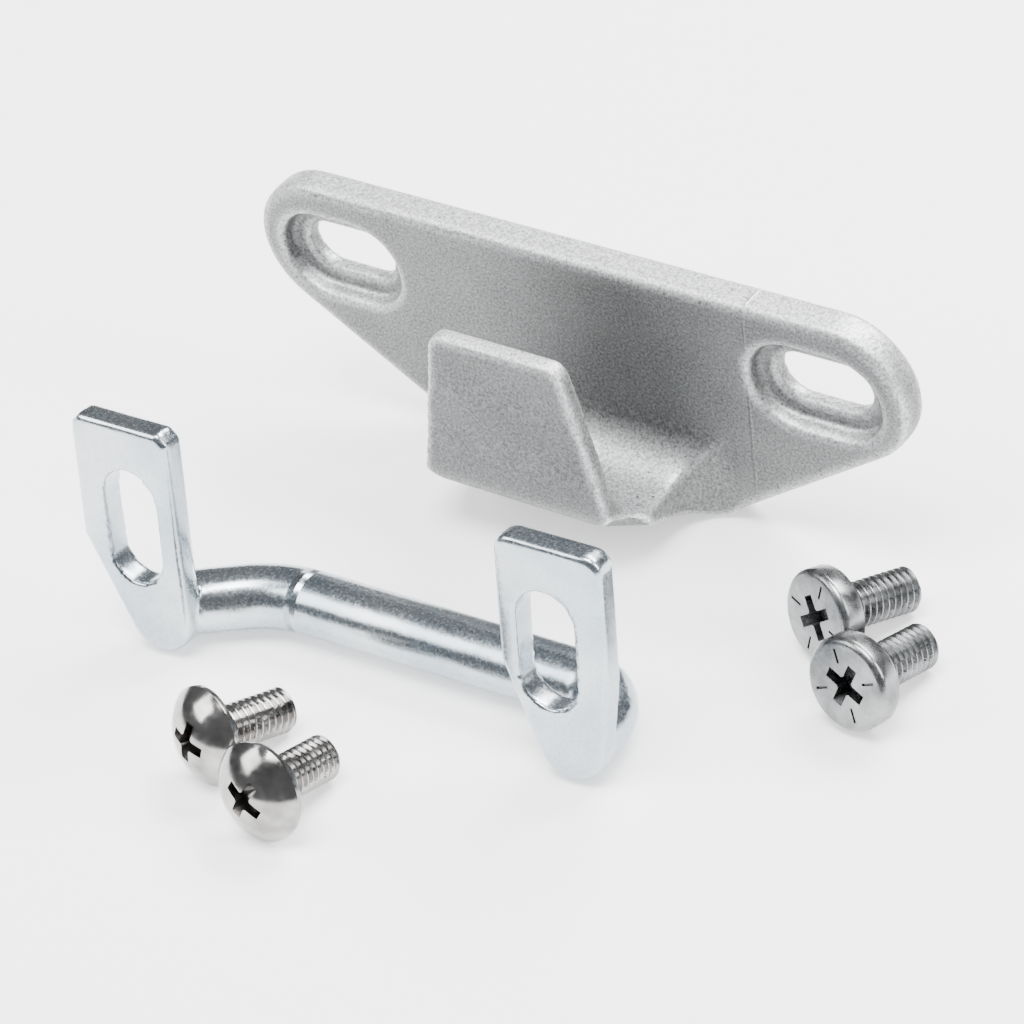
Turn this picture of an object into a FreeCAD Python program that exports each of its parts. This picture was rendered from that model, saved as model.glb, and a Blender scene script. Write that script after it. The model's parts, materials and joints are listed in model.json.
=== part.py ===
import FreeCAD, Part

import math
import os

from FreeCAD import Vector

# Latch set of a gate or door: a catch plate with an upturned hook, the wire bail that drops
# into the hook, and the four M6 screws that hold the two.
#
# Frame, in millimetres: the origin is the centre of the catch plate's back face, midway
# between its slots. +X runs along the plate, +Y into the wall behind it, +Z up. The hook
# points towards -Y. The set is stored loose, standing on the level of the plate's foot.

# Screws: M6, one pan-headed pair for the plate and one dome-headed pair for the bail
THREAD_DIAMETER = 6.0
THREAD_PITCH = 1.0
THREAD_DEPTH = 0.61
SCREW_LENGTH = 12.0           # under the head
SCREW_TIP = 0.5               # unthreaded point beyond the last turn
SCREW_NECK = 0.5              # unthreaded length under the head
PAN_HEAD_DIAMETER = 12.4
PAN_HEAD_HEIGHT = 3.3
PAN_FACE_RADIUS = 0.9         # rounding between the pan head's face and its side
DOME_HEAD_DIAMETER = 13.2
DOME_HEAD_HEIGHT = 3.9
DOME_RIM = 0.8                # straight rim under the dome
RECESS_SPAN = 7.0             # across the wings of the cross recess
RECESS_WING = 1.3             # width of one wing at the face
RECESS_DEPTH = 2.6
RECESS_SOCKET = 3.0           # diameter of the middle of the recess
TICK_START = 2.4              # radius where a tick mark between the wings begins
TICK_END = 4.4
TICK_WIDTH = 0.25
TICK_DEPTH = 0.2

# Bail: round wire with its two ends flattened into slotted lugs
ROD_DIAMETER = 8.7
LUG_SLOT_SPACING = 64.6
LUG_WIDTH = 15.7
LUG_THICKNESS = 3.8
LUG_TOP = 15.0                # above the slot's centre
LUG_SLOT_DROP = 13.7          # from the slot's centre down to the wire's centre
LUG_SLOT_CLEARANCE = 2.6
LUG_SLOT_TRAVEL = 8.0         # between the slot's two end centres
LUG_SLOT_INSET = 0.75         # slots sit this far inboard of the lugs' middles
LUG_EDGE_ROUND = 0.9
LUG_CORNER_CUT = 1.4
LUG_CORNER_ROUND = 2.4
LUG_SHOULDER = -3.0           # height, from the slot's centre, where the taper begins
HEEL_RADIUS = 5.0
HEEL_SHIFT = 2.3              # both heels are formed this far towards +X
LUG_LEAN = 11.0               # degrees between a lug and the square to the wire's plane
LEFT_LEG_SLANT = 30.0         # degrees between the left leg and the bail's straight run
RIGHT_LEG_SPLAY = 1.2         # the right leg runs outwards by this much
LEFT_HEEL_BEND_INNER = 0.35   # inner radii of the wire's bends
LEFT_RUN_BEND_INNER = 15.0
RIGHT_BEND_INNER = 1.25

# Catch plate
SLOT_SPACING = 76.0
PLATE_THICKNESS = 5.0
PLATE_END_RADIUS = 10.6
PLATE_END_RISE = 0.7          # end arcs' centres above the slots
PLATE_END_OUTSET = 3.0        # and outside them
FLANK_ANGLE = 33.8            # degrees, of the plate's lower sides
PLATE_FOOT = 25.6             # slot centre down to the foot
FOOT_CORNER_RADIUS = 5.0
FRONT_EDGE_ROUND = 1.1
BACK_EDGE_CHAMFER = 0.4
SLOT_CLEARANCE = 1.0
SLOT_TRAVEL = 7.0             # between a slot's two end centres
HEAD_CLEARANCE = 0.3          # of the screw's head in its counterbore
COUNTERBORE_DEPTH = 2.5

# Hook
POCKET_PLAY = 5.5             # pocket width beyond the wire's diameter
LIP_THICKNESS = 2.9
LIP_CLEARANCE = 0.45          # between the lip and the latched bail's lugs
LIP_LEAN = 1.1                # the lip's top is this much nearer to the plate than its foot
LIP_TOP = 7.0                 # above the slots' centres
LIP_FOOT = -17.5              # level of the nose, where the lip starts
LIP_TOP_WIDTH = 20.4
LIP_FOOT_WIDTH = 30.6
LIP_CORNER_RADIUS = 2.4
LIP_EDGE_ROUND = 0.9
LIP_SIDE_SWEEP = 4.0          # radius where a side of the lip runs out into the floor
POCKET_FLOOR = -17.6          # level of the pocket's floor
POCKET_PLATE_RADIUS = 7.0
POCKET_LIP_RADIUS = 4.5
NOSE_ROUND = 3.4              # under the nose, where the sloping underside begins
NOSE_WIDTH = 33.6
NOSE_CORNER_RADIUS = 2.6
ROOT_SPREAD = 6.0             # how far each side of the hook flares out at the plate
ROOT_FLARE_RADIUS = 6.5

# Where the loose pieces stand: heads and heels by their X and Y, turns in degrees about +Z
BAIL_PLACE = (-3.6, -55.5, 2.0)
PAN_FRONT_PLACE = (58.0, -30.3, 82.0)
PAN_REAR_PLACE = (48.4, -21.1, 70.0)
DOME_FRONT_PLACE = (0.7, -79.2, 88.0)
DOME_REAR_PLACE = (-12.0, -73.8, 76.0)

# Worked out from the sizes above
FACE_Y = -PLATE_THICKNESS
FLOOR_Z = -PLATE_FOOT
ROD_RADIUS = ROD_DIAMETER / 2
POCKET_WIDTH = ROD_DIAMETER + POCKET_PLAY
HOOK_REACH = POCKET_WIDTH + LIP_THICKNESS
THREAD_RADIUS = THREAD_DIAMETER / 2


def corner_arc(before, corner, after, radius):
    """Tangent points and middle of the arc that rounds a corner."""
    back = (before - corner).normalize()
    ahead = (after - corner).normalize()
    half = back.getAngle(ahead) / 2
    middle = (back + ahead).normalize()
    start = corner + back * (radius / math.tan(half))
    end = corner + ahead * (radius / math.tan(half))
    top = corner + middle * (radius / math.sin(half) - radius)
    return start, top, end


def rounded_wire(points, radii, closed=True):
    """Straight runs through the points, with each corner rounded by its radius."""
    edges = []
    count = len(points)
    starts, ends = list(points), list(points)
    for i, radius in enumerate(radii):
        inner = closed or 0 < i < count - 1
        if radius and inner:
            start, top, end = corner_arc(points[i - 1], points[i], points[(i + 1) % count], radius)
            starts[i], ends[i] = start, end
            edges.append((i, Part.Arc(start, top, end).toShape()))
    for i in range(count if closed else count - 1):
        a, b = ends[i], starts[(i + 1) % count]
        if a.distanceToPoint(b) > 1e-6:
            edges.append((i + 0.5, Part.LineSegment(a, b).toShape()))
    ordered = [edge for _, edge in sorted(edges, key=lambda item: item[0])]
    return Part.Wire(ordered)


def prism(points, radii, along):
    """Solid made by moving a rounded outline along a vector."""
    return Part.Face(rounded_wire(points, radii)).extrude(along)


def slot_cutter(x, z, width, travel, y_from, y_to, upright=False):
    """Round-ended slot through a wall, between two Y planes."""
    half, radius = travel / 2, width / 2
    long, short = half + radius, radius
    w, h = (short, long) if upright else (long, short)
    corners = [Vector(x + sx * w, y_from, z + sz * h) for sx, sz in ((-1, -1), (1, -1), (1, 1), (-1, 1))]
    return prism(corners, [radius * 0.9999] * 4, Vector(0, y_to - y_from, 0))


def edges_where(shape, test):
    """Edges whose centre of mass passes a test."""
    return [edge for edge in shape.Edges if test(edge)]


def flat_at_y(edge, y):
    box = edge.BoundBox
    return abs(box.YMin - y) < 1e-4 and abs(box.YMax - y) < 1e-4


def plate_outline(from_y, to_y):
    """Prism with the plate's outline: long level top, round ends, lower sides sloping in to a foot."""
    end_x = SLOT_SPACING / 2 + PLATE_END_OUTSET
    top = PLATE_END_RISE + PLATE_END_RADIUS
    slope = math.radians(FLANK_ANGLE)
    tip_x = end_x + PLATE_END_RADIUS / math.tan(slope / 2)
    foot_x = tip_x - (top + PLATE_FOOT) / math.tan(slope)
    outline = [(-tip_x, top), (tip_x, top), (foot_x, FLOOR_Z), (-foot_x, FLOOR_Z)]
    corners = [Vector(x, from_y, z) for x, z in outline]
    radii = [PLATE_END_RADIUS, PLATE_END_RADIUS, FOOT_CORNER_RADIUS, FOOT_CORNER_RADIUS]
    return prism(corners, radii, Vector(0, to_y - from_y, 0))


def make_plate_body():
    """Flat plate with its front rim rounded and its back rim just broken."""
    plate = plate_outline(0, FACE_Y)
    plate = plate.makeFillet(FRONT_EDGE_ROUND, edges_where(plate, lambda e: flat_at_y(e, FACE_Y)))
    plate = plate.makeChamfer(BACK_EDGE_CHAMFER, edges_where(plate, lambda e: flat_at_y(e, 0)))
    return plate


def make_hook():
    """Upturned hook: sloping underside, lip and rounded pocket, flared where it leaves the plate."""
    root = FACE_Y + PLATE_THICKNESS / 2
    nose = FACE_Y - HOOK_REACH
    root_half = NOSE_WIDTH / 2 + ROOT_SPREAD
    root_top = POCKET_FLOOR + POCKET_PLATE_RADIUS + 1.0
    profile = [
        (root, FLOOR_Z, 0),
        (FACE_Y, FLOOR_Z, 0),
        (nose, LIP_FOOT, NOSE_ROUND),
        (nose + LIP_LEAN, LIP_TOP, LIP_EDGE_ROUND),
        (nose + LIP_LEAN + LIP_THICKNESS, LIP_TOP, LIP_EDGE_ROUND),
        (nose + LIP_THICKNESS, POCKET_FLOOR, POCKET_LIP_RADIUS),
        (FACE_Y, POCKET_FLOOR, POCKET_PLATE_RADIUS),
        (FACE_Y, root_top, 0),
        (root, root_top, 0),
    ]
    corners = [Vector(-root_half, y, z) for y, z, _ in profile]
    band = prism(corners, [radius for _, _, radius in profile], Vector(2 * root_half, 0, 0))

    half_plan = [
        (NOSE_WIDTH / 2, nose, NOSE_CORNER_RADIUS),
        (NOSE_WIDTH / 2, FACE_Y, ROOT_FLARE_RADIUS),
        (root_half, FACE_Y, 0),
        (root_half, root, 0),
    ]
    plan = half_plan + [(-x, y, radius) for x, y, radius in reversed(half_plan)]
    corners = [Vector(x, y, FLOOR_Z - 1) for x, y, _ in plan]
    height = LIP_TOP - FLOOR_Z + 2
    hook = band.common(prism(corners, [radius for _, _, radius in plan], Vector(0, 0, height)))
    return hook.common(plate_outline(root, nose - 1))


def trim_lip(hook):
    """Cut the lip to its front view: round top corners, sides that sweep out into the floor."""
    nose = FACE_Y - HOOK_REACH
    far, above = NOSE_WIDTH, LIP_TOP + 5.0
    half_view = [
        (LIP_TOP_WIDTH / 2, LIP_TOP, LIP_CORNER_RADIUS),
        (LIP_FOOT_WIDTH / 2, POCKET_FLOOR, LIP_SIDE_SWEEP),
        (far, POCKET_FLOOR, 0),
        (far, above, 0),
    ]
    outline = half_view + [(-x, z, radius) for x, z, radius in reversed(half_view)]
    corners = [Vector(x, nose - 1, z) for x, z, _ in outline]
    depth = LIP_THICKNESS + POCKET_LIP_RADIUS + 2.0
    return hook.cut(prism(corners, [radius for _, _, radius in outline], Vector(0, depth, 0)))


def make_catch_plate():
    """Plate and hook in one casting, with two counterbored slots."""
    catch = make_plate_body().fuse(trim_lip(make_hook())).removeSplitter()
    slot_width = THREAD_DIAMETER + SLOT_CLEARANCE
    bore_width = PAN_HEAD_DIAMETER + HEAD_CLEARANCE
    for x in (-SLOT_SPACING / 2, SLOT_SPACING / 2):
        catch = catch.cut(slot_cutter(x, 0, slot_width, SLOT_TRAVEL, 1, FACE_Y - 1))
        catch = catch.cut(slot_cutter(x, 0, bore_width, SLOT_TRAVEL, FACE_Y + COUNTERBORE_DEPTH, FACE_Y - 1))
    return catch


def lug_outline(top_z, center_x):
    """One lug seen square on: straight sides, then a taper to the round heel. Origin at the wire."""
    half = LUG_WIDTH / 2
    slot_z = LUG_SLOT_DROP
    heel = Vector(0, 0, HEEL_RADIUS - ROD_RADIUS)
    sides = []
    for side in (-1, 1):
        shoulder = Vector(center_x + side * half, 0, slot_z + LUG_SHOULDER)
        reach = (heel - shoulder).Length
        toward = math.atan2(heel.z - shoulder.z, heel.x - shoulder.x)
        spread = math.asin(HEEL_RADIUS / reach)
        angle = toward + side * spread
        run = math.sqrt(reach ** 2 - HEEL_RADIUS ** 2)
        touch = shoulder + Vector(math.cos(angle), 0, math.sin(angle)) * run
        sides.append((Vector(shoulder.x, 0, top_z), shoulder, touch))
    (left_top, left_shoulder, left_touch), (right_top, right_shoulder, right_touch) = sides
    bottom = heel - Vector(0, 0, HEEL_RADIUS)
    return Part.Wire([
        Part.LineSegment(right_top, left_top).toShape(),
        Part.LineSegment(left_top, left_shoulder).toShape(),
        Part.LineSegment(left_shoulder, left_touch).toShape(),
        Part.Arc(left_touch, bottom, right_touch).toShape(),
        Part.LineSegment(right_touch, right_shoulder).toShape(),
        Part.LineSegment(right_shoulder, right_top).toShape(),
    ])


def make_lug(side):
    """Flattened end of the wire, upright, its mounting face towards -Y. Origin at the heel's wire."""
    slot_x = -HEEL_SHIFT
    top_z = LUG_SLOT_DROP + LUG_TOP
    outline = lug_outline(top_z, slot_x + side * LUG_SLOT_INSET)
    lug = Part.Face(outline).extrude(Vector(0, LUG_THICKNESS, 0))
    lug.translate(Vector(0, -LUG_THICKNESS / 2, 0))
    top_corners = edges_where(lug, lambda e: e.BoundBox.ZMin > top_z - 1e-4 and e.BoundBox.XLength < 1e-4)
    if side < 0:
        lug = lug.makeChamfer(LUG_CORNER_CUT, top_corners)
    else:
        lug = lug.makeFillet(LUG_CORNER_ROUND, top_corners)
    rims = edges_where(lug, lambda e: e.BoundBox.YLength < 1e-4)
    lug = lug.makeFillet(LUG_EDGE_ROUND, rims)
    slot_width = THREAD_DIAMETER + LUG_SLOT_CLEARANCE
    reach = LUG_THICKNESS
    return lug.cut(slot_cutter(slot_x, LUG_SLOT_DROP, slot_width, LUG_SLOT_TRAVEL, -reach, reach, upright=True))


def rod_path(heel_left, heel_right, run_y):
    """Centre line of the wire in its own level plane, from the left heel to the right one."""
    slant = math.radians(LEFT_LEG_SLANT)
    heel_bend = ROD_RADIUS + LEFT_HEEL_BEND_INNER
    stub = heel_bend * math.tan((math.pi / 2 - slant) / 2) + 0.1
    points = [
        Vector(heel_left, 0, 0),
        Vector(heel_left, stub, 0),
        Vector(heel_left + (run_y - stub) / math.tan(slant), run_y, 0),
        Vector(heel_right + RIGHT_LEG_SPLAY, run_y, 0),
        Vector(heel_right, 0, 0),
    ]
    radii = [0, heel_bend, ROD_RADIUS + LEFT_RUN_BEND_INNER, ROD_RADIUS + RIGHT_BEND_INNER, 0]
    return rounded_wire(points, radii, closed=False)


def make_bail():
    """Wire bail lying on its legs: the lugs stand up and lean back over the wire."""
    lean = math.radians(LUG_LEAN)
    standoff = LUG_THICKNESS / 2 + LIP_THICKNESS + LIP_CLEARANCE + ROD_RADIUS
    run_y = standoff / math.cos(lean)
    heels = [side * LUG_SLOT_SPACING / 2 + HEEL_SHIFT for side in (-1, 1)]
    path = rod_path(heels[0], heels[1], run_y)
    section = Part.Wire(Part.makeCircle(ROD_RADIUS, Vector(heels[0], 0, 0), Vector(0, 1, 0)))
    bail = path.makePipeShell([section], True, True)
    for side, heel_x in zip((-1, 1), heels):
        lug = make_lug(side)
        lug.rotate(Vector(0, 0, 0), Vector(1, 0, 0), -LUG_LEAN)
        lug.translate(Vector(heel_x, 0, 0))
        bail = bail.fuse(lug)
    x, y, turn = BAIL_PLACE
    bail.rotate(Vector(0, 0, 0), Vector(0, 0, 1), turn)
    bail.translate(Vector(x, y, FLOOR_Z - bail.BoundBox.ZMin))
    return bail.removeSplitter()


def cross_recess(face_x):
    """Cutter for the cross recess: two crossed tapered blades round a conical socket."""
    half = RECESS_SPAN / 2
    above, bottom = face_x - 2, face_x + RECESS_DEPTH
    socket = RECESS_SOCKET / 2
    cutter = Part.makeCone(socket, socket / 2, RECESS_DEPTH, Vector(face_x, 0, 0), Vector(1, 0, 0))
    side = [(above, half), (face_x, half), (bottom, half / 2)]
    blade_outline = side + [(x, -z) for x, z in reversed(side)]
    for turn in (0, 90):
        corners = [Vector(x, -RECESS_WING / 2, z) for x, z in blade_outline]
        blade = prism(corners, [0] * len(corners), Vector(0, RECESS_WING, 0))
        blade.rotate(Vector(0, 0, 0), Vector(1, 0, 0), turn)
        cutter = cutter.fuse(blade)
    return cutter


def tick_marks(face_x):
    """Four shallow strokes in the head's face, between the wings of the recess."""
    marks = []
    for i in range(4):
        mark = Part.makeBox(TICK_DEPTH + 1, TICK_WIDTH, TICK_END - TICK_START)
        mark.translate(Vector(face_x - 1, -TICK_WIDTH / 2, TICK_START))
        mark.rotate(Vector(0, 0, 0), Vector(1, 0, 0), 45 + 90 * i)
        marks.append(mark)
    return marks


def turned(wire):
    """Solid turned about the X axis from a closed half section in the XZ plane."""
    return Part.Face(wire).revolve(Vector(0, 0, 0), Vector(1, 0, 0), 360)


def make_shank():
    """Threaded shank along +X from the head's seat at X = 0, its thread as separate ridges."""
    root = THREAD_RADIUS - THREAD_DEPTH
    crest = THREAD_PITCH / 8
    turns = int((SCREW_LENGTH - SCREW_NECK - SCREW_TIP) / THREAD_PITCH)
    section = [(0, 0), (0, root), (SCREW_NECK, root)]
    for i in range(turns):
        valley = SCREW_NECK + (i + 1) * THREAD_PITCH
        peak = valley - THREAD_PITCH / 2
        section += [(peak - crest / 2, THREAD_RADIUS), (peak + crest / 2, THREAD_RADIUS), (valley, root)]
    section += [(SCREW_LENGTH, root), (SCREW_LENGTH, 0)]
    corners = [Vector(x, 0, z) for x, z in section]
    return turned(rounded_wire(corners, [0] * len(corners)))


def make_pan_head():
    """Low cylindrical head with a flat face and a rounded edge, cross recess and tick marks."""
    radius = PAN_HEAD_DIAMETER / 2
    section = [(0, 0), (-PAN_HEAD_HEIGHT, 0), (-PAN_HEAD_HEIGHT, radius), (0, radius)]
    corners = [Vector(x, 0, z) for x, z in section]
    head = turned(rounded_wire(corners, [0, 0, PAN_FACE_RADIUS, 0]))
    head = head.cut(cross_recess(-PAN_HEAD_HEIGHT))
    for mark in tick_marks(-PAN_HEAD_HEIGHT):
        head = head.cut(mark)
    return head


def make_dome_head():
    """Domed head on a short straight rim, with a cross recess."""
    radius = DOME_HEAD_DIAMETER / 2
    rise = DOME_HEAD_HEIGHT - DOME_RIM
    sphere = (radius ** 2 + rise ** 2) / (2 * rise)
    half_angle = math.asin(radius / sphere) / 2
    middle_x = sphere - DOME_HEAD_HEIGHT - sphere * math.cos(half_angle)
    crown, rim = Vector(-DOME_HEAD_HEIGHT, 0, 0), Vector(-DOME_RIM, 0, radius)
    seat_edge, axis_point = Vector(0, 0, radius), Vector(0, 0, 0)
    wire = Part.Wire([
        Part.LineSegment(axis_point, crown).toShape(),
        Part.Arc(crown, Vector(middle_x, 0, sphere * math.sin(half_angle)), rim).toShape(),
        Part.LineSegment(rim, seat_edge).toShape(),
        Part.LineSegment(seat_edge, axis_point).toShape(),
    ])
    return turned(wire).cut(cross_recess(-DOME_HEAD_HEIGHT))


def lay_down(screw, head_radius, place):
    """Lay a screw on the floor, touching at the rim of its head and at its last thread."""
    last_crest = SCREW_LENGTH - SCREW_TIP - THREAD_PITCH / 2
    drop = math.atan((head_radius - THREAD_RADIUS) / last_crest)
    x, y, turn = place
    height = head_radius * math.cos(drop)
    screw.rotate(Vector(0, 0, 0), Vector(0, 1, 0), math.degrees(drop))
    screw.rotate(Vector(0, 0, 0), Vector(0, 0, 1), turn)
    screw.translate(Vector(x, y, FLOOR_Z + height))
    return screw


def make_screws():
    """Both pairs of screws where they lie, by node name."""
    pan = make_pan_head().fuse(make_shank()).removeSplitter()
    dome = make_dome_head().fuse(make_shank()).removeSplitter()
    pan_radius, dome_radius = PAN_HEAD_DIAMETER / 2, DOME_HEAD_DIAMETER / 2
    return {
        "pan_screw_front": lay_down(pan.copy(), pan_radius, PAN_FRONT_PLACE),
        "pan_screw_rear": lay_down(pan.copy(), pan_radius, PAN_REAR_PLACE),
        "domed_screw_front": lay_down(dome.copy(), dome_radius, DOME_FRONT_PLACE),
        "domed_screw_rear": lay_down(dome.copy(), dome_radius, DOME_REAR_PLACE),
    }


def save(shape, node):
    """Write one node's solid to its STEP file."""
    print(node, "solids", len(shape.Solids), "valid", shape.isValid(), "volume", round(shape.Volume, 1))
    shape.Solids[0].exportStep("parts/" + node + ".step")


os.makedirs("parts", exist_ok=True)
save(make_catch_plate(), "catch_plate")
save(make_bail(), "striker_bail")
for name, screw in make_screws().items():
    save(screw, name)
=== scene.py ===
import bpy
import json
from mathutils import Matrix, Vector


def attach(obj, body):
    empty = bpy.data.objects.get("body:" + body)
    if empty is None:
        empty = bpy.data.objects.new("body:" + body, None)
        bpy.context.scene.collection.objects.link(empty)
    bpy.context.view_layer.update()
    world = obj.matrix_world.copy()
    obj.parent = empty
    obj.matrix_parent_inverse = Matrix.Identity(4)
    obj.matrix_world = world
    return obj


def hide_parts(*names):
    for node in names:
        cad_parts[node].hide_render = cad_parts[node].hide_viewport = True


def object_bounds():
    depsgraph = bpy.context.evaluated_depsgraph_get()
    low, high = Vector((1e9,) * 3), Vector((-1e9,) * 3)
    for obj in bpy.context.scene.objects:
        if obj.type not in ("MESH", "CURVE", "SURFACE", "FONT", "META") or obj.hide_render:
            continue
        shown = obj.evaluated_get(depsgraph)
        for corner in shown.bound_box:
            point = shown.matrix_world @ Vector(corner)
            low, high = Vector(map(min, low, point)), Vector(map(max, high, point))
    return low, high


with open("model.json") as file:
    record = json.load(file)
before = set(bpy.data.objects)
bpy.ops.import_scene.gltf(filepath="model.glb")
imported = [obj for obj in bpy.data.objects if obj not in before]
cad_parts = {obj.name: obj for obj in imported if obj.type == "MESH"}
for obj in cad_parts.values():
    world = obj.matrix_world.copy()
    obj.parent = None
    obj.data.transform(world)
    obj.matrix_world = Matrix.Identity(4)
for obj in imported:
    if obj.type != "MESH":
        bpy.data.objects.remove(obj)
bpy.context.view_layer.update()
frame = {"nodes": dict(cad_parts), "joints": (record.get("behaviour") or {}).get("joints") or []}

import json
import math

import bmesh
import bpy
from mathutils import Euler, Matrix, Vector

# ---- Camera ------------------------------------------------------------------------------
# The set is looked at from above and to the right with a long lens, the camera tipped to one
# side. The aim is a point just in front of the catch plate.
CAMERA_AZIMUTH = math.radians(42.98)
CAMERA_ELEVATION = math.radians(38.16)
CAMERA_ROLL = math.radians(-12.52)
CAMERA_DISTANCE = 0.5806
CAMERA_AIM = Vector((0.0002, -0.0235, -0.0174))
CAMERA_LENS = 156.17

bpy.ops.object.select_all(action="DESELECT")
view_turn = Euler((math.pi / 2 - CAMERA_ELEVATION, 0, CAMERA_AZIMUTH)).to_matrix()
view_turn = view_turn @ Matrix.Rotation(CAMERA_ROLL, 3, "Z")
bpy.ops.object.camera_add(
    location=CAMERA_AIM + view_turn @ Vector((0, 0, CAMERA_DISTANCE)), rotation=view_turn.to_euler()
)
camera = bpy.context.object
camera.data.lens = CAMERA_LENS
camera.data.sensor_width = 36
camera.data.clip_start = 0.01
bpy.context.scene.camera = camera

# ---- Floor -------------------------------------------------------------------------------
# A plain white paper floor on the level of the catch plate's foot, the screws and the bail.
lowest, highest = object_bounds()
FLOOR_SIZE = 3.0
bpy.ops.mesh.primitive_plane_add(size=FLOOR_SIZE, location=(0, 0, lowest[2] - 0.0001))
floor = bpy.context.object
floor.name = "studio_floor"
paper = bpy.data.materials.new("floor_paper")
paper.use_nodes = True
paper_shader = paper.node_tree.nodes["Principled BSDF"]
paper_shader.inputs["Base Color"].default_value = (0.97, 0.97, 0.97, 1)
paper_shader.inputs["Roughness"].default_value = 0.95
paper_shader.inputs["Specular IOR Level"].default_value = 0.1
paper_shader.inputs["Emission Color"].default_value = (1, 1, 1, 1)
paper_shader.inputs["Emission Strength"].default_value = 0.8
floor.data.materials.append(paper)

# ---- Lights ------------------------------------------------------------------------------
# Soft boxes overhead, behind and to both sides; between them the room stays grey, so that the
# plated parts have dark as well as bright things to mirror.
SOFT_BOXES = [
    # azimuth, elevation (degrees), distance, width, height (metres), watts
    (170, 50, 1.0, 0.8, 0.4, 22.0),
    (-50, 40, 1.0, 0.5, 0.5, 7.0),
    (100, 32, 1.1, 0.3, 0.7, 8.0),
    (15, 80, 1.3, 0.8, 0.6, 34.0),
]
for number, (azimuth, elevation, distance, width, height, watts) in enumerate(SOFT_BOXES):
    turn = Euler((math.pi / 2 - math.radians(elevation), 0, math.radians(azimuth))).to_matrix()
    bpy.ops.object.light_add(
        type="AREA", location=turn @ Vector((0, 0, distance)), rotation=turn.to_euler()
    )
    soft_box = bpy.context.object
    soft_box.name = "soft_box_%d" % number
    soft_box.data.shape = "RECTANGLE"
    soft_box.data.size = width
    soft_box.data.size_y = height
    soft_box.data.energy = watts

room = bpy.data.worlds.new("studio_room")
bpy.context.scene.world = room
room.use_nodes = True
room.node_tree.nodes["Background"].inputs["Color"].default_value = (0.50, 0.51, 0.53, 1)
room.node_tree.nodes["Background"].inputs["Strength"].default_value = 0.42


# ---- Catch plate -------------------------------------------------------------------------
# The real plate is one casting: a flat plate with two counterbored slots and an upturned hook. It
# was tumbled, so its edges are soft; its skin is mid grey and finely grained. Its outward edges and
# upward faces get a painted highlight. The CAD mesh is copied, remeshed and smoothed to get those soft
# edges.
MM = 0.001
CASTING_VOXEL = 0.42 * MM
CASTING_SMOOTH_ROUNDS = 14
CASTING_DARK = (0.07, 0.072, 0.072)
CASTING_GREY = (0.165, 0.17, 0.171)
CASTING_LIGHT = (0.29, 0.296, 0.298)
# Near-white colour of the painted highlight on the plate's outward edges and upward faces.
CASTING_PAINTED_HIGHLIGHT = (0.88, 0.89, 0.90)


def softened_copy(node, name, voxel, rounds):
    """Copy of a CAD node's mesh as a new piece, remeshed evenly and smoothed."""
    bpy.ops.object.select_all(action="DESELECT")
    bpy.ops.mesh.primitive_cube_add(size=MM, location=(0, 0, 0))
    piece = bpy.context.object
    piece.name = name
    piece.data = frame["nodes"][node].data.copy()
    piece.data.name = name
    piece.data.materials.clear()
    bpy.ops.object.mode_set(mode="EDIT")
    bpy.ops.mesh.select_all(action="SELECT")
    bpy.ops.mesh.remove_doubles(threshold=0.002 * MM)
    bpy.ops.object.mode_set(mode="OBJECT")
    remesh = piece.modifiers.new("even_skin", "REMESH")
    remesh.mode = "VOXEL"
    remesh.voxel_size = voxel
    remesh.adaptivity = 0
    bpy.ops.object.modifier_apply(modifier=remesh.name)
    soften = piece.modifiers.new("tumbled_edges", "SMOOTH")
    soften.factor = 0.5
    soften.iterations = rounds
    bpy.ops.object.modifier_apply(modifier=soften.name)
    bpy.ops.object.shade_smooth()
    return piece


def new_metal(name, color, roughness):
    """Metal with its Object coordinates; returns the material, its nodes, links, shader, coordinates."""
    material = bpy.data.materials.new(name)
    material.use_nodes = True
    nodes, links = material.node_tree.nodes, material.node_tree.links
    shader = nodes["Principled BSDF"]
    shader.inputs["Base Color"].default_value = (*color, 1)
    shader.inputs["Metallic"].default_value = 1.0
    shader.inputs["Roughness"].default_value = roughness
    place = nodes.new("ShaderNodeTexCoord").outputs["Object"]
    return material, nodes, links, shader, place


def noise(nodes, links, place, scale, detail=3.0, roughness=0.55):
    """Noise on the Object coordinates; scale is in waves per metre."""
    texture = nodes.new("ShaderNodeTexNoise")
    texture.inputs["Scale"].default_value = scale
    texture.inputs["Detail"].default_value = detail
    texture.inputs["Roughness"].default_value = roughness
    links.new(place, texture.inputs["Vector"])
    return texture.outputs["Fac"]


def ramp(nodes, links, value, *stops):
    """Colour ramp on a value; each stop is a position and a grey level or a colour."""
    band = nodes.new("ShaderNodeValToRGB")
    elements = band.color_ramp.elements
    while len(elements) < len(stops):
        elements.new(0.5)
    for element, (position, color) in zip(elements, stops):
        element.position = position
        element.color = (*color, 1) if isinstance(color, tuple) else (color, color, color, 1)
    links.new(value, band.inputs["Fac"])
    return band.outputs["Color"]


def mix(nodes, links, factor, first, second, blend="MIX"):
    """Mix of two colours; each may be a socket or a fixed colour."""
    node = nodes.new("ShaderNodeMix")
    node.data_type = "RGBA"
    node.blend_type = blend
    values = {"Factor": factor, "A": first, "B": second}
    for key, value in values.items():
        socket = node.inputs[key]
        if isinstance(value, bpy.types.NodeSocket):
            links.new(value, socket)
        elif isinstance(value, tuple):
            socket.default_value = (*value, 1)
        else:
            socket.default_value = value
    return node.outputs["Result"]


def bump(nodes, links, height, strength, distance, under=None):
    """Bump node on a height; returns its normal."""
    node = nodes.new("ShaderNodeBump")
    node.inputs["Strength"].default_value = strength
    node.inputs["Distance"].default_value = distance
    links.new(height, node.inputs["Height"])
    if under is not None:
        links.new(under, node.inputs["Normal"])
    return node.outputs["Normal"]


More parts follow.
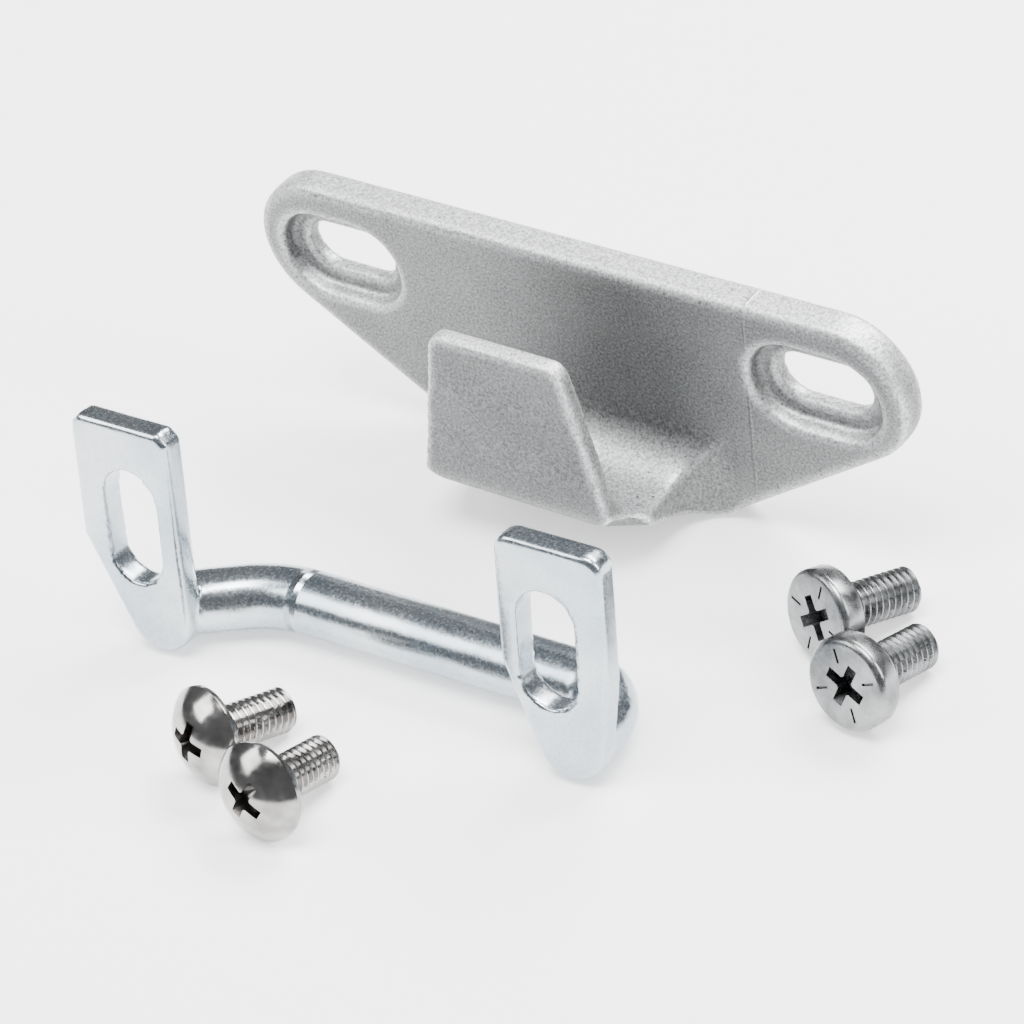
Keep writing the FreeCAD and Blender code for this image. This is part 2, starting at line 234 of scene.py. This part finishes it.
def edge_highlight_mask(nodes, links, low, high):
    """Mask for painted edge highlights: white on outward edges, black on flats, from the mesh's
    pointiness.
    """
    geometry = nodes.new("ShaderNodeNewGeometry")
    return ramp(nodes, links, geometry.outputs["Pointiness"], (low, 0.0), (high, 1.0))


def stripe(nodes, links, place, axis, center, half_width, slant=0.0):
    """White line across one Object axis; slant leans it along Z."""
    split = nodes.new("ShaderNodeSeparateXYZ")
    links.new(place, split.inputs["Vector"])
    lean = nodes.new("ShaderNodeMath")
    lean.operation = "MULTIPLY_ADD"
    links.new(split.outputs["Z"], lean.inputs[0])
    lean.inputs[1].default_value = slant
    lean.inputs[2].default_value = -center
    shift = nodes.new("ShaderNodeMath")
    links.new(split.outputs[axis], shift.inputs[0])
    links.new(lean.outputs[0], shift.inputs[1])
    distance = nodes.new("ShaderNodeMath")
    distance.operation = "ABSOLUTE"
    links.new(shift.outputs[0], distance.inputs[0])
    line = nodes.new("ShaderNodeMapRange")
    line.inputs["From Max"].default_value = half_width
    line.inputs["To Min"].default_value = 1.0
    line.inputs["To Max"].default_value = 0.0
    links.new(distance.outputs[0], line.inputs["Value"])
    return line.outputs["Result"]


casting = softened_copy("catch_plate", "catch_casting", CASTING_VOXEL, CASTING_SMOOTH_ROUNDS)

# The hook's two lower side edges get a wide round at the nose, which fades out towards the plate.
NOSE_HALF_WIDTH = 15.9 * MM
NOSE_Y, NOSE_Z = -22.1 * MM, -17.5 * MM
FOOT_Y, FOOT_Z = -5.0 * MM, -25.6 * MM
NOSE_SIDE_ROUND = 5.0 * MM
FADE_START_Y = -15.5 * MM
FADE_RUN = 5.5 * MM
for vertex in casting.data.vertices:
    x, y, z = vertex.co
    fade = min(max((FADE_START_Y - y) / FADE_RUN, 0), 1)
    radius = NOSE_SIDE_ROUND * fade
    under = NOSE_Z + (FOOT_Z - NOSE_Z) * (y - NOSE_Y) / (FOOT_Y - NOSE_Y)
    across, down = radius - (NOSE_HALF_WIDTH - abs(x)), radius - (z - under)
    reach = math.hypot(across, down)
    if radius > 0 and across > 0 and down > 0 and reach > radius:
        vertex.co.x = math.copysign(abs(x) - across * (1 - radius / reach), x)
        vertex.co.z = z + down * (1 - radius / reach)
blend = casting.modifiers.new("blend_round", "SMOOTH")
blend.iterations = 4
bpy.ops.object.modifier_apply(modifier=blend.name)
skin, nodes, links, shader, place = new_metal("catch_casting_skin", CASTING_GREY, 0.5)
grain = noise(nodes, links, place, 2600.0, 4.0, 0.65)
fine = noise(nodes, links, place, 6200.0, 2.0, 0.6)
cloud = noise(nodes, links, place, 120.0, 3.0)
speck = noise(nodes, links, place, 1500.0, 1.0)
mottle = ramp(nodes, links, grain, (0.36, CASTING_DARK), (0.5, CASTING_GREY), (0.66, CASTING_LIGHT))
clouded = mix(nodes, links, 0.3, mottle, ramp(nodes, links, cloud, (0.35, 0.12), (0.65, 0.21)))
# Painted highlight: faces turned upwards and the outward edges are mixed towards near white, broken up by
# the grain.
facing = nodes.new("ShaderNodeSeparateXYZ")
links.new(nodes.new("ShaderNodeTexCoord").outputs["Normal"], facing.inputs["Vector"])
upward = ramp(nodes, links, facing.outputs["Z"], (0.30, 0.0), (0.92, 1.0))
edges = edge_highlight_mask(nodes, links, 0.503, 0.545)
painted_highlight_mask = mix(nodes, links, 1.0, edges, upward, "SCREEN")
sparkle = ramp(nodes, links, grain, (0.38, 0.35), (0.60, 1.0))
highlighted_skin = mix(nodes, links, mix(nodes, links, 1.0, painted_highlight_mask, sparkle, "MULTIPLY"), clouded, CASTING_PAINTED_HIGHLIGHT)
pits = ramp(nodes, links, speck, (0.24, 1.0), (0.29, 0.0))
pitted = mix(nodes, links, pits, highlighted_skin, (0.10, 0.10, 0.10))
links.new(pitted, shader.inputs["Base Color"])
links.new(ramp(nodes, links, fine, (0.35, 0.40), (0.65, 0.58)), shader.inputs["Roughness"])
rough_skin = bump(nodes, links, grain, 0.55, 0.10 * MM)
for axis, center, half_width, slant, depth in (
    ("Y", -1.7 * MM, 0.28 * MM, 0.0, -0.7),
    ("Y", -2.5 * MM, 0.22 * MM, 0.0, -0.4),
    ("X", 28.0 * MM, 0.30 * MM, -0.09, 0.5),
):
    line = stripe(nodes, links, place, axis, center, half_width, slant)
    rough_skin = bump(nodes, links, line, depth, 0.12 * MM, rough_skin)
links.new(bump(nodes, links, fine, 0.45, 0.05 * MM, rough_skin), shader.inputs["Normal"])
shader.inputs["Metallic"].default_value = 0.82
casting.data.materials.append(skin)
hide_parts("catch_plate")
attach(casting, "catch")

# ---- Striker bail ------------------------------------------------------------------------
# The bail is thick steel wire, bent into a square loop, its two ends forged flat into lugs with an
# upright slot. It is zinc plated: smooth, bright and bluish, slightly wavy from the forging, with
# a crease round the wire where the die ended.
BAIL_VOXEL = 0.36 * MM
BAIL_SMOOTH_ROUNDS = 3
ZINC_BRIGHT = (0.56, 0.61, 0.64)
ZINC_BLUE = (0.36, 0.43, 0.49)

bail = softened_copy("striker_bail", "bail_wire", BAIL_VOXEL, BAIL_SMOOTH_ROUNDS)
plating, nodes, links, shader, place = new_metal("bail_zinc_plating", ZINC_BRIGHT, 0.2)
wave = noise(nodes, links, place, 170.0, 2.0, 0.4)
patch = noise(nodes, links, place, 60.0, 3.0)
grit = noise(nodes, links, place, 2400.0, 3.0, 0.6)
stain = ramp(nodes, links, patch, (0.35, ZINC_BLUE), (0.62, ZINC_BRIGHT))
speckled = mix(nodes, links, 0.25, stain, ramp(nodes, links, grit, (0.35, 0.35), (0.55, 0.9)), "MULTIPLY")
links.new(speckled, shader.inputs["Base Color"])
links.new(ramp(nodes, links, grit, (0.3, 0.17), (0.7, 0.30)), shader.inputs["Roughness"])
wavy = bump(nodes, links, wave, 0.5, 0.35 * MM)
crease = stripe(nodes, links, place, "X", -17.3 * MM, 0.9 * MM)
wavy = bump(nodes, links, crease, 0.9, 0.3 * MM, wavy)
links.new(bump(nodes, links, grit, 0.16, 0.03 * MM, wavy), shader.inputs["Normal"])
bail.data.materials.append(plating)
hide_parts("striker_bail")
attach(bail, "bail")

# ---- Pan-head screws ---------------------------------------------------------------------
# Two M6 machine screws in darker plated steel, 12 mm under the head, lying on the floor. The head
# is a low pan with a punched cross recess and four tick marks between its wings; the rolled
# thread is a 1 mm helix, trimmed to a chamfered tip.
THREAD_RADIUS = 3.0 * MM
THREAD_DEPTH = 0.61 * MM
THREAD_PITCH = 1.0 * MM
THREAD_STEPS = 40             # sections in one turn
THREAD_OVERRUN = 0.6 * MM     # the helix starts this far inside the head
CREST_HALF = 0.07 * MM
FLANK_HALF = 0.44 * THREAD_PITCH
SCREW_LENGTH = 12.0 * MM
SCREW_TIP = 0.5 * MM
RECESS_WING = 1.9 * MM
RECESS_SPAN = 7.6 * MM
RECESS_DEPTH = 2.3 * MM
RECESS_TAPER = 0.55
SOCKET_RADIUS = 1.75 * MM
SOCKET_END_RADIUS = 0.7 * MM
TICK_SIZE = (0.5 * MM, 0.32 * MM, 1.9 * MM)
TICK_RADIUS = 3.9 * MM
HEAD_STEPS = 96
SMOOTH_ANGLE = math.radians(28)
PAN_RADIUS = 6.2 * MM
PAN_HEIGHT = 3.3 * MM
PAN_FACE_ROUND = 0.95 * MM
PAN_COLOR = (0.27, 0.275, 0.28)
PAN_GLOSS = (0.20, 0.36)
PAN_TURNS = {"pan_screw_front": 20, "pan_screw_rear": 52}  # degrees about each screw's own axis


def lathe(name, outline, steps):
    """Solid of revolution about X from (x, radius) points that start and end on the axis."""
    bpy.ops.object.select_all(action="DESELECT")
    bpy.ops.mesh.primitive_plane_add(size=MM, location=(0, 0, 0))
    piece = bpy.context.object
    piece.name = name
    shape = bmesh.new()
    corners = [shape.verts.new((x, 0, radius)) for x, radius in outline]
    for a, b in zip(corners, corners[1:]):
        shape.edges.new((a, b))
    shape.to_mesh(piece.data)
    shape.free()
    bpy.ops.object.mode_set(mode="EDIT")
    bpy.ops.mesh.select_all(action="SELECT")
    bpy.ops.mesh.spin(steps=steps, angle=2 * math.pi, center=(0, 0, 0), axis=(1, 0, 0))
    bpy.ops.mesh.select_all(action="SELECT")
    bpy.ops.mesh.remove_doubles(threshold=0.002 * MM)
    bpy.ops.mesh.normals_make_consistent(inside=False)
    bpy.ops.object.mode_set(mode="OBJECT")
    return piece


def join_boolean(piece, other, operation):
    """Apply a boolean of another object to a piece and remove the other."""
    bpy.ops.object.select_all(action="DESELECT")
    piece.select_set(True)
    bpy.context.view_layer.objects.active = piece
    joined = piece.modifiers.new("joined", "BOOLEAN")
    joined.object = other
    joined.operation = operation
    joined.solver = "EXACT"
    bpy.ops.object.modifier_apply(modifier=joined.name)
    bpy.data.objects.remove(other, do_unlink=True)


def block(name, size, center, turn_x=0.0):
    """Box of a size about a centre, turned about the X axis."""
    bpy.ops.object.select_all(action="DESELECT")
    bpy.ops.mesh.primitive_cube_add(size=1, location=(0, 0, 0))
    piece = bpy.context.object
    piece.name = name
    piece.data.transform(Matrix.Translation(Vector(center)) @ Matrix.Diagonal((*size, 1)))
    piece.data.transform(Matrix.Rotation(turn_x, 4, "X"))
    return piece


def thread_ridge(name, core):
    """Closed helical ridge, one section after another, wound past both ends of the shank."""
    bpy.ops.object.select_all(action="DESELECT")
    bpy.ops.mesh.primitive_plane_add(size=MM, location=(0, 0, 0))
    ridge = bpy.context.object
    ridge.name = name
    root = core - 0.25 * MM
    crest = [(-CREST_HALF, THREAD_RADIUS), (CREST_HALF, THREAD_RADIUS)]
    section = [(-FLANK_HALF, root), (-FLANK_HALF, core), *crest, (FLANK_HALF, core), (FLANK_HALF, root)]
    turns = int(SCREW_LENGTH / THREAD_PITCH) + 1
    shape = bmesh.new()
    rings = []
    for step in range(turns * THREAD_STEPS + 1):
        angle = 2 * math.pi * step / THREAD_STEPS
        along = THREAD_PITCH * step / THREAD_STEPS - THREAD_OVERRUN
        rings.append([
            shape.verts.new((x + along, radius * math.sin(angle), radius * math.cos(angle)))
            for x, radius in section
        ])
    for ring, following in zip(rings, rings[1:]):
        for i in range(len(section)):
            j = (i + 1) % len(section)
            shape.faces.new((ring[i], ring[j], following[j], following[i]))
    shape.faces.new(rings[0])
    shape.faces.new(list(reversed(rings[-1])))
    bmesh.ops.recalc_face_normals(shape, faces=shape.faces)
    shape.to_mesh(ridge.data)
    shape.free()
    return ridge


def make_thread(name):
    """The ridge trimmed by the chamfered blank, joined to its core."""
    core = THREAD_RADIUS - THREAD_DEPTH
    tip = SCREW_LENGTH
    ridge = thread_ridge(name, core)
    trim = lathe("trim", [
        (0.02 * MM, 0),
        (0.02 * MM, THREAD_RADIUS + MM),
        (tip - SCREW_TIP - MM, THREAD_RADIUS + MM),
        (tip - SCREW_TIP, THREAD_RADIUS + 0.1 * MM),
        (tip, THREAD_RADIUS - 0.65 * MM),
        (tip, 0),
    ], 48)
    shank = lathe("shank", [
        (-0.5 * MM, 0),
        (-0.5 * MM, core),
        (tip - 0.15 * MM, core),
        (tip - 0.01 * MM, core - 0.2 * MM),
        (tip - 0.01 * MM, 0),
    ], 80)
    join_boolean(ridge, trim, "INTERSECT")
    join_boolean(ridge, shank, "UNION")
    return ridge


def pan_outline():
    """Pan head: flat face, rounded shoulder, straight low side, flat seat."""
    flat = PAN_RADIUS - PAN_FACE_ROUND
    points = [(-PAN_HEIGHT, 0), (-PAN_HEIGHT, flat * 0.5), (-PAN_HEIGHT, flat)]
    for step in range(1, 9):
        angle = math.pi / 2 * step / 8
        points.append((
            -PAN_HEIGHT + PAN_FACE_ROUND - PAN_FACE_ROUND * math.cos(angle),
            flat + PAN_FACE_ROUND * math.sin(angle),
        ))
    side = [(-0.35 * MM, PAN_RADIUS), (-0.1 * MM, PAN_RADIUS - 0.08 * MM)]
    return points + side + [(0, PAN_RADIUS - 0.3 * MM), (0, 0)]


def make_screw(name, outline, face_x, ticks):
    """Head with its cross recess and tick marks, joined to the threaded shank."""
    screw = lathe(name, outline, HEAD_STEPS)
    for turn in (0, math.pi / 2):
        wing = block("wing", (RECESS_DEPTH * 2, RECESS_WING, RECESS_SPAN), (face_x, 0, 0), turn)
        for vertex in wing.data.vertices:
            if vertex.co.x > face_x:
                vertex.co.y *= RECESS_TAPER
                vertex.co.z *= RECESS_TAPER
        join_boolean(screw, wing, "DIFFERENCE")
    bpy.ops.mesh.primitive_cone_add(
        vertices=32, radius1=SOCKET_RADIUS, radius2=SOCKET_END_RADIUS, depth=2 * RECESS_DEPTH
    )
    socket = bpy.context.object
    socket.data.transform(Matrix.Translation((face_x, 0, 0)) @ Matrix.Rotation(math.pi / 2, 4, "Y"))
    join_boolean(screw, socket, "DIFFERENCE")
    for i in range(4 if ticks else 0):
        tick = block("tick", TICK_SIZE, (face_x, 0, TICK_RADIUS), math.pi / 4 + i * math.pi / 2)
        join_boolean(screw, tick, "DIFFERENCE")
    join_boolean(screw, make_thread(name + "_thread"), "UNION")
    bpy.ops.object.select_all(action="DESELECT")
    screw.select_set(True)
    bpy.context.view_layer.objects.active = screw
    bpy.ops.object.shade_smooth_by_angle(angle=SMOOTH_ANGLE)
    return screw


def screw_plating(name, color, gloss):
    """Plated steel, finely streaked, dull in patches and dark in its hollows."""
    metal, nodes, links, shader, place = new_metal(name, color, 0.25)
    streak = noise(nodes, links, place, 900.0, 4.0, 0.6)
    haze = noise(nodes, links, place, 260.0, 2.0)
    smooth, rough = gloss
    links.new(ramp(nodes, links, streak, (0.3, smooth), (0.7, rough)), shader.inputs["Roughness"])
    dull = tuple(0.55 * channel for channel in color)
    tone = ramp(nodes, links, haze, (0.3, dull), (0.6, color))
    hollows = nodes.new("ShaderNodeNewGeometry").outputs["Pointiness"]
    shade = ramp(nodes, links, hollows, (0.42, 0.35), (0.49, 1.0))
    links.new(mix(nodes, links, 1.0, tone, shade, "MULTIPLY"), shader.inputs["Base Color"])
    links.new(bump(nodes, links, streak, 0.15, 0.04 * MM), shader.inputs["Normal"])
    return metal


def lay_screw(screw, node, turn):
    """Put a finished screw on its joint's axis, turned by some degrees about it."""
    joint = next(j for j in frame["joints"] if j["name"] == node + "_turn")
    along = Vector(joint["axis"]).normalized()
    level = Vector((0, 0, 1)).cross(along).normalized()
    stand = Matrix((along, level, along.cross(level))).transposed().to_4x4()
    spin = Matrix.Rotation(math.radians(turn), 4, "X")
    screw.data.transform(Matrix.Translation(Vector(joint["pos_m"])) @ stand @ spin)
    screw.data.materials.clear()


pan_plating = screw_plating("pan_screw_plating", PAN_COLOR, PAN_GLOSS)
for node, turn in PAN_TURNS.items():
    screw = make_screw(node + "_piece", pan_outline(), -PAN_HEIGHT, True)
    lay_screw(screw, node, turn)
    screw.data.materials.append(pan_plating)
    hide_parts(node)
    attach(screw, node)

# ---- Domed screws ------------------------------------------------------------------------
# Two more M6 machine screws with the same thread and recess, under a low domed head on a narrow
# rim. They are polished plated steel, so the domes mirror the light and the dark of the room.
DOME_RADIUS = 6.6 * MM
DOME_HEIGHT = 3.9 * MM
DOME_RIM = 0.8 * MM
DOME_STEPS = 16
DOME_COLOR = (0.40, 0.39, 0.38)
DOME_GLOSS = (0.10, 0.22)
DOME_TURNS = {"domed_screw_front": 30, "domed_screw_rear": 8}


def dome_outline():
    """Domed head: a low sphere cap on a narrow rim, flat seat."""
    rise = DOME_HEIGHT - DOME_RIM
    sphere = (DOME_RADIUS ** 2 + rise ** 2) / (2 * rise)
    widest = math.asin(DOME_RADIUS / sphere)
    points = []
    for step in range(DOME_STEPS + 1):
        angle = widest * step / DOME_STEPS
        points.append((sphere - DOME_HEIGHT - sphere * math.cos(angle), sphere * math.sin(angle)))
    side = [(0.2 * MM - DOME_RIM, DOME_RADIUS), (-0.15 * MM, DOME_RADIUS - 0.05 * MM)]
    return points + side + [(0, DOME_RADIUS - 0.3 * MM), (0, 0)]


dome_plating = screw_plating("domed_screw_plating", DOME_COLOR, DOME_GLOSS)
for node, turn in DOME_TURNS.items():
    screw = make_screw(node + "_piece", dome_outline(), -DOME_HEIGHT, False)
    lay_screw(screw, node, turn)
    screw.data.materials.append(dome_plating)
    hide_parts(node)
    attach(screw, node)
